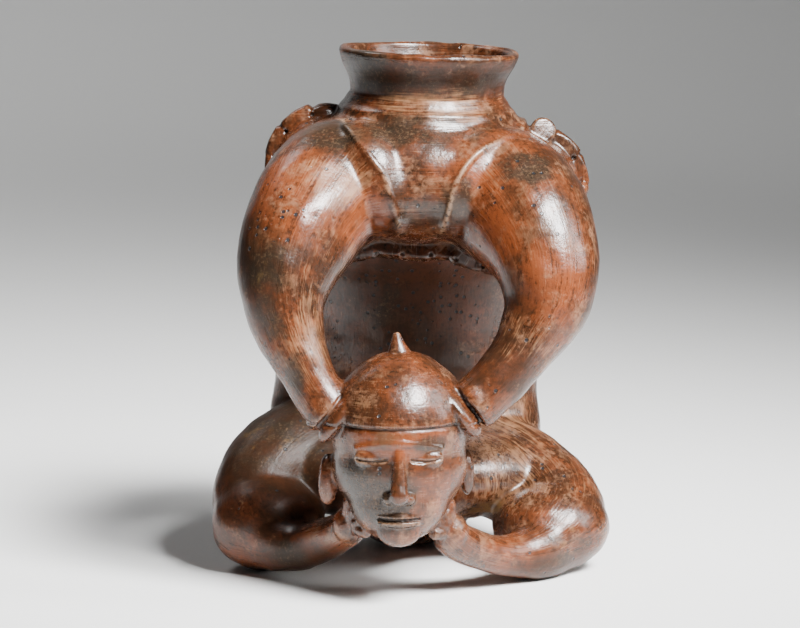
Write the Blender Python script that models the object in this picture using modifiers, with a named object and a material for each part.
"""Acrobat effigy vessel: a hollow fired-clay figure standing on its chest and elbows.

Its legs arch forward over its head, and its hips carry a flared spout. Metres, +Z up, the face towards -Y,
origin on the floor under the middle of the vessel.
"""

import math

import bmesh
import bpy
from mathutils import Matrix, Vector
from mathutils.bvhtree import BVHTree

# The figure: its pose and proportions are written in millimetres of the real figure, floor to hips, and
# scale with that height
FIGURE_HEIGHT = 0.211
MM = FIGURE_HEIGHT / 211

# Walls, and the narrowest hollow that the potter left inside a limb
BODY_WALL = 0.0065
LIP_WALL = 0.0048
LEAST_HOLLOW_RADIUS = 0.0070

# Spout: radii of its outer face, and heights above the crown of the hips
RIM_RADIUS = 0.0403
THROAT_RADIUS = 0.0346
FOOT_RADIUS = 0.0388
THROAT_HEIGHT = 0.0065
SPOUT_HEIGHT = 0.0255
LIP_ROUND = 0.0018
SPOUT_LEAN = math.radians(2.4)

# Base: how much of the rounded elbows and chest is worn flat
WORN_FLAT = 0.0011

# Belt of pressed clay pads, each a little longer than its place, with a wider knob where it starts
PAD_LENGTH = 0.0128
PAD_WIDTH = 0.0112
PAD_RELIEF = 0.0052
PAD_OVERLAP = 1.1
KNOB_WIDTH = 0.0130

# Hem ridges, cap, soles and fingers
RIDGE_RADIUS = 0.0026
CAP_ROLL_RELIEF = 0.0013
KNOB_HEIGHT = 0.0105
SOLE_THICKNESS = 0.0100
FINGER_RADIUS = 0.0026

# Fineness of the clay skin, and the triangles kept: fewer where it is plain than where a detail stands out
# from it by more than DETAIL_RELIEF
TRUNK_VOXEL = 0.0018
SKIN_VOXEL = 0.0013
HOLLOW_VOXEL = 0.0022
SKIN_FACES = 6100
DETAIL_RELIEF = 0.0007
DETAIL_SHARE, DETAIL_CARE = 0.25, 4e-6
HOLLOW_FACES = 1500
TURNED_STEPS = 40

CLAY_COLOUR = (0.30, 0.115, 0.062, 1.0)

# The trunk as sections: centre (x, y, z), half width, half depth, and the lean of the section's plane in
# degrees, from the chest up the back and forward over the hips
TRUNK = (
    (0, 42, 17, 30, 20, 0),
    (0, 37, 23, 43, 29, 0),
    (0, 35, 31, 52, 34, 0),
    (-1, 35, 42, 60.5, 36, 0),
    (-2, 38, 56, 64, 34, 2),
    (-1, 41, 76, 62, 31, 4),
    (0, 42, 100, 62.2, 31, 8),
    (1, 41, 124, 63.5, 33, 16),
    (3, 34, 148, 66, 35, 34),
    (5, 18, 168, 68, 35, 58),
    (7, 0, 177, 67, 31.5, 80),
    (8, -18, 178, 63, 28.5, 96),
    (7, -33, 176, 48, 24, 106),
    (6, -44, 173, 26, 15, 112),
)

# Limbs as stations: centre (x, y, z) and radius
LEG_LEFT = (
    (-26, -6, 178, 29.5),
    (-34.5, -26, 176, 30),
    (-43.5, -44, 167.5, 27.5),
    (-52.3, -58, 150.5, 24),
    (-55, -66, 133, 19.3),
    (-51.2, -71, 116.5, 14.8),
    (-44.2, -76, 101.5, 12.1),
    (-36.8, -80, 89.8, 11.4),
    (-32.5, -83, 82.5, 12.0),
)
LEG_RIGHT = (
    (37, -8, 173, 30),
    (44, -26, 172, 30.5),
    (52.2, -44, 165, 28.4),
    (59.7, -58, 150.2, 24.2),
    (60.7, -66, 133, 20),
    (54, -71, 118.3, 15.4),
    (45.3, -76, 105.6, 12.4),
    (34.2, -80, 94.3, 11.6),
    (26, -83, 87, 12.0),
)
ARM_LEFT = (
    (-28, 26, 47, 25),
    (-45.5, 19, 47, 26.5),
    (-60.3, 7, 40, 26),
    (-68, -6, 29.5, 23),
    (-67, -21, 21, 18.5),
    (-58, -35, 16.6, 13.4),
    (-47.5, -45, 17.4, 10.4),
    (-39, -53, 22.2, 9.9),
    (-32, -61, 27.2, 9.2),
    (-25, -69, 32.5, 8.2),
)
ARM_RIGHT = (
    (28, 26, 45, 24),
    (45, 19, 39.5, 24),
    (60.5, 7, 31.5, 23.2),
    (68.3, -6, 25, 22),
    (67.5, -21, 19, 18.5),
    (58, -36, 14, 13.6),
    (46, -47, 13.4, 9.8),
    (34.5, -57, 17, 8.9),
    (23.5, -65.5, 23, 8.7),
    (16.5, -72.5, 30, 8.3),
)
NAPE = ((-4, -66, 58, 20), (-3, -44, 53, 21), (-1, -16, 46, 25), (0, 14, 42, 28))
HIPS = ((-34, 2, 183.5, 22.5), (-10, 2, 184, 23), (24, 2, 183.5, 23), (53, 2, 182.5, 23))
LIMBS = (LEG_LEFT, LEG_RIGHT, ARM_LEFT, ARM_RIGHT, NAPE, HIPS)

# Clay pressed into the creases between the thighs and the loins, solid, in stations like the limbs'
CREASE_LEFT = (
    (-26, -28, 200, 9),
    (-19, -40, 194, 12),
    (-13, -45, 183, 13.5),
    (-9, -44.5, 172, 13),
    (-7, -38, 163, 10),
)
CREASE_RIGHT = (
    (40, -26, 197, 9),
    (31, -38, 191, 12),
    (24, -43.5, 182, 13.5),
    (19, -43.5, 171, 13),
    (16, -38, 162, 10),
)

# Rounded lumps: centre (x, y, z) and half sizes
CHEST = (0, 36, 27, 33, 31, 27)
SHOULDERS = (0, 14, 41, 70, 42, 24)
ELBOW_LEFT = (-64.3, -17, 22.5, 26.2, 25, 22.5)
ELBOW_RIGHT = (64.5, -17, 20.5, 27, 25, 20.5)
PELVIS = (6, -31, 180, 45, 25, 26.5)
CROWN = (6, 1, 186, 52, 46, 23)
HIP_LEFT = (-37.5, 3, 183.5, 23, 21, 23)
HIP_RIGHT = (50, 3, 177, 26.5, 22, 22)
SKULL = (-4.5, -77, 78, 30.5, 30, 32.5)
CHEEKS = (-4.5, -79, 62, 29.5, 28, 24)
JAW = (-4.5, -85, 48, 22, 21, 19)
LUMPS = (CHEST, SHOULDERS, ELBOW_LEFT, ELBOW_RIGHT, PELVIS, CROWN, HIP_LEFT, HIP_RIGHT, SKULL, CHEEKS, JAW)

# Spout: the foot of its axis, just above the crown of the hips
SPOUT_FOOT = (CROWN[0] + 2.2, CROWN[1] - 1, CROWN[2] + CROWN[5] + 2)

# Belt: the middle of its upright plane, the angles where it starts and ends, from level on the right, how far
# it swings forward under the hips for each millimetre down, and how far its lowest pads stand off the skin
BELT_CENTRE = (6, 5, 177)
BELT_START, BELT_END = 146, 373
BELT_SWING = 0.65
BELT_HANG = 2

# The cut end of the belt's roll of clay, in stations like a limb's
BELT_CUT_END = ((58.6, 5.7, 196.4, 5.8), (61.0, -4.0, 200.3, 6.3))

# Hems of the loincloth: places (x, z) seen from the front, laid on the skin
HEM_LEFT = ((-30, 207), (-25, 203), (-16, 192), (-11, 186), (-8, 175), (-4, 162))
HEM_RIGHT = ((51, 202), (39, 199), (30, 195), (23, 187), (19, 178), (17, 169), (14, 159))

# Head: the middle of the face, and its levels. The eyes are at half the head's height, the nose ends half
# way from them to the chin, and the mouth is a third of the way from the nose to the chin.
FACE_X, FACE_Y = -4.5, -107
CHIN_LEVEL, CROWN_LEVEL, CAP_LEVEL = 29, 109, 83
EYE_LEVEL = (CHIN_LEVEL + CROWN_LEVEL) / 2
NOSE_LEVEL = (CHIN_LEVEL + EYE_LEVEL) / 2
MOUTH_LEVEL = NOSE_LEVEL - (NOSE_LEVEL - CHIN_LEVEL) / 3
EAR_LEFT = (-35.5, -76, 55, 4.2, 6.5, 11.5)
EAR_RIGHT = (25.5, -72, 57, 2.8, 6, 10)

# Soles: centre, and the lean of the sole's length from level, in degrees
SOLE_LEFT = (-31, -88, 83.5, 52)
SOLE_RIGHT = (22.5, -87, 86, 127)
SOLE_LENGTH, SOLE_WIDTH = 26, 20

# Hands: wrist, then the first and last fingertips against the jaw
HAND_LEFT = ((-29, -66, 30), (-18, -85, 33), (-26, -77, 46))
HAND_RIGHT = ((21, -69, 26), (10, -84, 32), (17, -76, 45))
FINGERS = 4


def form_object(name, mesh):
    """An object of this mesh, in the scene until it is used up."""
    form = bpy.data.objects.new(name, mesh)
    bpy.context.scene.collection.objects.link(form)
    return form


def form_of(name, bm):
    """An object of what this bmesh holds."""
    mesh = bpy.data.meshes.new(name)
    bm.to_mesh(mesh)
    bm.free()
    return form_object(name, mesh)


def evaluated_copy(source, name):
    """What an object's modifiers or curve settings give, as a mesh object of its own."""
    bpy.context.view_layer.update()
    graph = bpy.context.evaluated_depsgraph_get()
    mesh = bpy.data.meshes.new_from_object(source.evaluated_get(graph))
    copy = form_object(name, mesh)
    copy.matrix_world = source.matrix_world
    bpy.data.objects.remove(source)
    return copy


def smooth_between(rows, steps):
    """Rows of numbers with more rows added along the Catmull-Rom curve through them."""
    rows = [Vector(row) for row in rows]
    ends = [rows[0] * 2 - rows[1], *rows, rows[-1] * 2 - rows[-2]]
    finer = []
    for before, a, b, after in zip(ends, ends[1:], ends[2:], ends[3:]):
        for step in range(steps):
            t = step / steps
            linear = b - before
            square = 2 * before - 5 * a + 4 * b - after
            cube = 3 * a - before - 3 * b + after
            finer.append((2 * a + t * linear + t ** 2 * square + t ** 3 * cube) / 2)
    return [*finer, rows[-1]]


def away_from_ends(rows, margin):
    """The rows of a path that lie at least this many millimetres along it from both ends."""
    along = [0.0]
    for a, b in zip(rows, rows[1:]):
        along.append(along[-1] + (Vector(b[:3]) - Vector(a[:3])).length)
    return [row for row, place in zip(rows, along) if margin <= place <= along[-1] - margin]


def limb(name, stations, inset=0.0):
    """A round limb through (x, y, z, radius) stations, as a bevelled curve; an inset makes its hollow."""
    rows = away_from_ends(smooth_between(stations, 5), inset / MM)
    if inset:
        rows = [row for row in rows if row[3] * MM - inset >= LEAST_HOLLOW_RADIUS]
    curve = bpy.data.curves.new(name, "CURVE")
    curve.dimensions = "3D"
    curve.bevel_depth = 1.0
    curve.bevel_resolution = 6
    curve.use_fill_caps = True
    spline = curve.splines.new("POLY")
    spline.points.add(len(rows) - 1)
    for point, (x, y, z, radius) in zip(spline.points, rows):
        point.co = (x * MM, y * MM, z * MM, 1.0)
        point.radius = radius * MM - inset
    tube = evaluated_copy(form_object(name, curve), name)
    bm = bmesh.new()
    bm.from_mesh(tube.data)
    bmesh.ops.remove_doubles(bm, verts=bm.verts, dist=0.00001)
    bm.to_mesh(tube.data)
    bm.free()
    return tube


def lump(name, row, inset=0.0, turn=None):
    """A rounded lump of clay: a sphere stretched to three half sizes, turned, and moved to its centre."""
    bm = bmesh.new()
    bmesh.ops.create_uvsphere(bm, u_segments=32, v_segments=20, radius=1.0)
    stretch = Matrix.Diagonal([size * MM - inset for size in row[3:]] + [1.0])
    place = Matrix.Translation(Vector(row[:3]) * MM)
    bmesh.ops.transform(bm, matrix=place @ (turn or Matrix()) @ stretch, verts=bm.verts)
    return form_of(name, bm)


def trunk(name, inset=0.0):
    """The trunk: a loft through leaning ellipses; an inset makes its hollow."""
    around = 48
    bm = bmesh.new()
    rings = []
    for x, y, z, width, depth, lean in away_from_ends(smooth_between(TRUNK, 4), inset / MM):
        turn = Matrix.Rotation(math.radians(lean), 3, "X")
        ring = []
        for index in range(around):
            angle = 2 * math.pi * index / around
            across = (width * MM - inset) * math.cos(angle)
            through = (depth * MM - inset) * math.sin(angle)
            ring.append(bm.verts.new(Vector((x, y, z)) * MM + turn @ Vector((across, through, 0))))
        rings.append(ring)
    for low, high in zip(rings, rings[1:]):
        for index in range(around):
            beside = (index + 1) % around
            bm.faces.new((low[index], low[beside], high[beside], high[index]))
    bm.faces.new(reversed(rings[0]))
    bm.faces.new(rings[-1])
    return form_of(name, bm)


def turned(name, profile):
    """A solid turned on the spout's leaning axis: (radius, height) points, from the top down its side."""
    bm = bmesh.new()
    points = [bm.verts.new((radius, 0, height)) for radius, height in profile]
    for above, below in zip(points, points[1:]):
        bm.edges.new((above, below))
    form = form_of(name, bm)
    form.matrix_world = Matrix.Translation(Vector(SPOUT_FOOT) * MM) @ Matrix.Rotation(SPOUT_LEAN, 4, "Y")
    screw = form.modifiers.new("Turn", "SCREW")
    screw.steps = screw.render_steps = TURNED_STEPS
    screw.use_merge_vertices = True
    screw.merge_threshold = 0.00001
    return evaluated_copy(form, name)


def spout_side(inset):
    """The spout's flared side from the lip down to its foot, as (radius, height) points."""
    flare = RIM_RADIUS - THROAT_RADIUS
    rise = SPOUT_HEIGHT - THROAT_HEIGHT
    rows = (
        (RIM_RADIUS, SPOUT_HEIGHT - LIP_ROUND),
        (RIM_RADIUS - 0.30 * flare, SPOUT_HEIGHT - 0.38 * rise),
        (RIM_RADIUS - 0.82 * flare, SPOUT_HEIGHT - 0.70 * rise),
        (THROAT_RADIUS, THROAT_HEIGHT),
    )
    return [(radius - inset, height) for radius, height in smooth_between(rows, 3)]


def spout_foot():
    """The spread foot of the spout, which is smoothed into the hips."""
    spread = FOOT_RADIUS - THROAT_RADIUS
    rows = (
        (THROAT_RADIUS, THROAT_HEIGHT),
        (THROAT_RADIUS + 0.25 * spread, THROAT_HEIGHT * 0.55),
        (FOOT_RADIUS, 0.0),
        (FOOT_RADIUS + 0.7 * spread, -THROAT_HEIGHT),
        (FOOT_RADIUS + spread, -2.2 * THROAT_HEIGHT),
    )
    return turned("spout_foot", [(0, THROAT_HEIGHT), *smooth_between(rows, 2), (0, -2.2 * THROAT_HEIGHT)])


def spout():
    """The spout as a solid, its root sunk in its foot."""
    lip = [
        (RIM_RADIUS - LIP_ROUND + LIP_ROUND * math.sin(angle), SPOUT_HEIGHT - LIP_ROUND * (1 - math.cos(angle)))
        for angle in (0, math.pi / 6, math.pi / 3)
    ]
    side = [*spout_side(0.0), (THROAT_RADIUS, 0.0), (0, 0.0)]
    return turned("spout", [(0, SPOUT_HEIGHT), *lip, *side])


def bore():
    """The hole down the spout into the hollow hips, its lip rounded off."""
    lip = [
        (RIM_RADIUS - LIP_WALL + LIP_ROUND * (1 - math.sin(angle)), SPOUT_HEIGHT - LIP_ROUND * (1 - math.cos(angle)))
        for angle in (0, math.pi / 6, math.pi / 3)
    ]
    over = SPOUT_HEIGHT + 0.004
    throat = min(radius for radius, height in spout_side(LIP_WALL))
    side = [row for row in spout_side(LIP_WALL) if row[1] >= THROAT_HEIGHT - 1e-6]
    below = -2.2 * BODY_WALL
    return turned("bore", [(0, over), (lip[0][0], over), *lip, *side, (throat, below), (0, below)])


def fuse(name, forms, voxel, smoothing):
    """Lumps of clay pressed into one skin, and smoothed where they meet."""
    bm = bmesh.new()
    for form in forms:
        first = len(bm.verts)
        bm.from_mesh(form.data)
        bm.verts.ensure_lookup_table()
        bmesh.ops.transform(bm, matrix=form.matrix_world, verts=bm.verts[first:])
        bpy.data.objects.remove(form)
    skin = form_of(name, bm)
    remesh = skin.modifiers.new("One skin", "REMESH")
    remesh.mode = "VOXEL"
    remesh.voxel_size = voxel
    blend = skin.modifiers.new("Blend", "SMOOTH")
    blend.factor = 0.5
    blend.iterations = smoothing
    return evaluated_copy(skin, name)


def thin_out(form, faces, bare=None):
    """The same skin on about this many triangles, with more of them left where it differs from a bare skin."""
    form.data.calc_loop_triangles()
    fewer = form.modifiers.new("Fewer faces", "DECIMATE")
    fewer.ratio = faces / len(form.data.loop_triangles)
    fewer.use_collapse_triangulate = True
    if bare:
        plain = form.vertex_groups.new(name="plain")
        for vertex in form.data.vertices:
            relief = bare.find_nearest(vertex.co)[3]
            plain.add([vertex.index], 1.0 if relief < DETAIL_RELIEF else DETAIL_SHARE, "REPLACE")
        fewer.vertex_group = plain.name
        fewer.vertex_group_factor = DETAIL_CARE
    return evaluated_copy(form, form.name)


def combine(form, other, operation):
    """A Boolean of two forms, which uses up the second."""
    boolean = form.modifiers.new(operation.title(), "BOOLEAN")
    boolean.operation = operation
    boolean.solver = "EXACT"
    boolean.object = other
    result = evaluated_copy(form, form.name)
    bpy.data.objects.remove(other)
    return result


def skin_tree(form):
    """A search tree of a form's surface."""
    bm = bmesh.new()
    bm.from_mesh(form.data)
    tree = BVHTree.FromBMesh(bm)
    bm.free()
    return tree


def belt_pads(tree):
    """Pads pressed on in a row round the hips, each turned to lie on the skin."""
    centre = Vector(BELT_CENTRE) * MM
    places = []
    reach = []
    for degree in range(BELT_START, BELT_END + 1):
        rise = math.sin(math.radians(degree))
        ray = Vector((math.cos(math.radians(degree)), BELT_SWING * min(0, rise), rise))
        place, normal, _, _ = tree.ray_cast(centre, ray)
        reach.append(reach[-1] + (place - places[-1][0]).length if places else 0.0)
        places.append((place, normal, BELT_HANG * MM * max(0, -rise)))
    count = round(reach[-1] / PAD_LENGTH)
    pads = []
    for index in range(count + 1):
        target = reach[-1] * index / count
        place, normal, hang = min(zip(reach, places), key=lambda pair: abs(pair[0] - target))[1]
        place = place + normal * hang
        along = normal.cross(Vector((0, 1, 0))).normalized()
        turn = Matrix((along, normal.cross(along), normal)).transposed().to_4x4()
        width = KNOB_WIDTH if not pads else PAD_WIDTH * (1 + 0.08 * math.sin(2.3 * len(pads)))
        half_sizes = [size / 2 / MM for size in (PAD_LENGTH * PAD_OVERLAP, width, 2 * PAD_RELIEF)]
        pads.append(lump("pad", (*(place / MM), *half_sizes), turn=turn))
    return [*pads, limb("belt_end", BELT_CUT_END)]


def hem(tree, places):
    """A ridge laid on the skin through places seen from the front."""
    stations = []
    for x, z in smooth_between(places, 4):
        start = Vector((x * MM, -1.0, z * MM))
        place, _, _, _ = tree.ray_cast(start, Vector((0, 1, 0)))
        stations.append((*(place / MM), RIDGE_RADIUS / MM))
    return limb("hem", stations)


def sole(row):
    """The sole of a foot, a thick lens of clay pressed against the side of the head."""
    x, y, z, lean = row
    turn = Matrix.Rotation(-math.radians(lean), 4, "Y")
    half_sizes = (SOLE_LENGTH / 2, SOLE_WIDTH / 2, SOLE_THICKNESS / 2 / MM)
    return lump("sole", (x, y, z, *half_sizes), turn=turn)


def hand(wrist, first_tip, last_tip):
    """A palm and its fingers, reaching up to the jaw."""
    wrist, first_tip, last_tip = Vector(wrist), Vector(first_tip), Vector(last_tip)
    palm = wrist.lerp((first_tip + last_tip) / 2, 0.35)
    pieces = [lump("palm", (*palm, 7.5, 7.5, 8.5))]
    thick = FINGER_RADIUS / MM
    for index in range(FINGERS):
        tip = first_tip.lerp(last_tip, index / (FINGERS - 1))
        knuckle = palm.lerp(tip, 0.55) + Vector((0, -1.5, 0))
        stations = ((*palm, thick * 1.2), (*knuckle, thick * 1.15), (*tip, thick))
        pieces.append(limb("finger", stations))
    return pieces


def head_features():
    """A calm, plain face, the ears, and the roll and knob of the cap."""
    roll = CAP_ROLL_RELIEF / MM
    brow = [
        (FACE_X + x, FACE_Y + 1.9 + x * x / 62, EYE_LEVEL + 7.0 - x * x / 110, 2.8 - abs(x) / 16)
        for x in (-19, -13, -7, 0, 7, 13, 19)
    ]
    nose = (
        (FACE_X, FACE_Y + 2.5, EYE_LEVEL + 6, 2.8),
        (FACE_X, FACE_Y + 1.2, EYE_LEVEL - 1, 2.9),
        (FACE_X, FACE_Y - 0.4, (EYE_LEVEL + NOSE_LEVEL) / 2, 3.4),
        (FACE_X, FACE_Y - 1.6, NOSE_LEVEL + 4.6, 4.2),
        (FACE_X, FACE_Y - 0.6, NOSE_LEVEL + 3.2, 3.6),
    )
    lip = [(FACE_X + x, FACE_Y + 2.6 + x * x / 40, MOUTH_LEVEL, 1.9 - abs(x) / 14) for x in (-9, -5, 0, 5, 9)]
    knob = KNOB_HEIGHT / MM
    return [
        limb("brow", brow),
        limb("nose", nose),
        *(lump("nostril", (FACE_X + x, FACE_Y + 1.4, NOSE_LEVEL + 2.8, 3.2, 3.4, 2.8)) for x in (-4.2, 4.2)),
        *(lump("eyelid", (FACE_X + x, FACE_Y + 5.6, EYE_LEVEL, 7.5, 3.2, 4.0)) for x in (-12, 12)),
        *(limb("lip", [(x, y, z + shift, radius) for x, y, z, radius in lip]) for shift in (-1.6, 1.3)),
        lump("chin", (FACE_X, FACE_Y + 9.5, CHIN_LEVEL + 7.5, 10, 6.5, 7.5)),
        lump("ear", EAR_LEFT),
        lump("ear", EAR_RIGHT),
        lump("cap_roll", (*SKULL[:2], CAP_LEVEL, SKULL[3] + roll, SKULL[4] + roll, 3.6)),
        limb("knob", [
            (*SKULL[:2], CROWN_LEVEL - 4, 10.0),
            (*SKULL[:2], CROWN_LEVEL - 0.5, 6.8),
            (SKULL[0] - 0.4, SKULL[1], CROWN_LEVEL + 0.30 * knob, 4.3),
            (SKULL[0] - 0.8, SKULL[1], CROWN_LEVEL + 0.65 * knob, 2.5),
            (SKULL[0] - 1.2, SKULL[1], CROWN_LEVEL + knob, 1.2),
        ]),
    ]


def clay_body():
    """The outer skin of the whole figure, without its spout."""
    bare = fuse(
        "bare_figure",
        [
            trunk("trunk"),
            *(limb("limb", row) for row in (*LIMBS, CREASE_LEFT, CREASE_RIGHT)),
            *(lump("lump", row) for row in LUMPS),
            spout_foot(),
        ],
        TRUNK_VOXEL,
        12,
    )
    tree = skin_tree(bare)
    details = [
        *belt_pads(tree),
        hem(tree, HEM_LEFT),
        hem(tree, HEM_RIGHT),
        sole(SOLE_LEFT),
        sole(SOLE_RIGHT),
        *hand(*HAND_LEFT),
        *hand(*HAND_RIGHT),
        *head_features(),
    ]
    return thin_out(fuse("clay_body", [bare, *details], SKIN_VOXEL, 3), SKIN_FACES, tree)


def hollow():
    """The room inside the figure, one wall in from its skin."""
    forms = [
        trunk("hollow_trunk", BODY_WALL),
        *(limb("hollow_limb", row, BODY_WALL) for row in LIMBS),
        *(lump("hollow_lump", row, BODY_WALL) for row in LUMPS),
    ]
    return thin_out(fuse("hollow", forms, HOLLOW_VOXEL, 4), HOLLOW_FACES)


def below_floor():
    """A block that takes off what is worn flat under the elbows and the chest."""
    bm = bmesh.new()
    bmesh.ops.create_cube(bm, size=1.0)
    bmesh.ops.translate(bm, vec=(0, 0, WORN_FLAT - 0.5), verts=bm.verts)
    return form_of("below_floor", bm)


def clay_material():
    """Burnished red-brown slip."""
    material = bpy.data.materials.new("fired_clay")
    material.use_nodes = True
    shader = material.node_tree.nodes["Principled BSDF"]
    shader.inputs["Base Color"].default_value = CLAY_COLOUR
    shader.inputs["Roughness"].default_value = 0.42
    shader.inputs["Metallic"].default_value = 0.0
    return material


def stand_on_origin(form):
    """Moves the mesh so that the origin is on the floor under the middle of its box."""
    corners = [Vector(corner) for corner in form.bound_box]
    low = Vector([min(corner[axis] for corner in corners) for axis in range(3)])
    high = Vector([max(corner[axis] for corner in corners) for axis in range(3)])
    form.data.transform(Matrix.Translation((-(low.x + high.x) / 2, -(low.y + high.y) / 2, -low.z)))


def main():
    for old in list(bpy.data.objects):
        bpy.data.objects.remove(old)
    vessel = combine(clay_body(), spout(), "UNION")
    vessel = combine(vessel, hollow(), "DIFFERENCE")
    vessel = combine(vessel, bore(), "DIFFERENCE")
    vessel = combine(vessel, below_floor(), "DIFFERENCE")
    vessel.name = vessel.data.name = "acrobat_vessel"
    stand_on_origin(vessel)
    vessel.data.shade_smooth()
    vessel.data.set_sharp_from_angle(angle=math.radians(50))
    vessel.data.materials.clear()
    vessel.data.materials.append(clay_material())
    collection = bpy.data.collections.new("acrobat_effigy_vessel")
    bpy.context.scene.collection.children.link(collection)
    bpy.context.scene.collection.objects.unlink(vessel)
    collection.objects.link(vessel)


main()
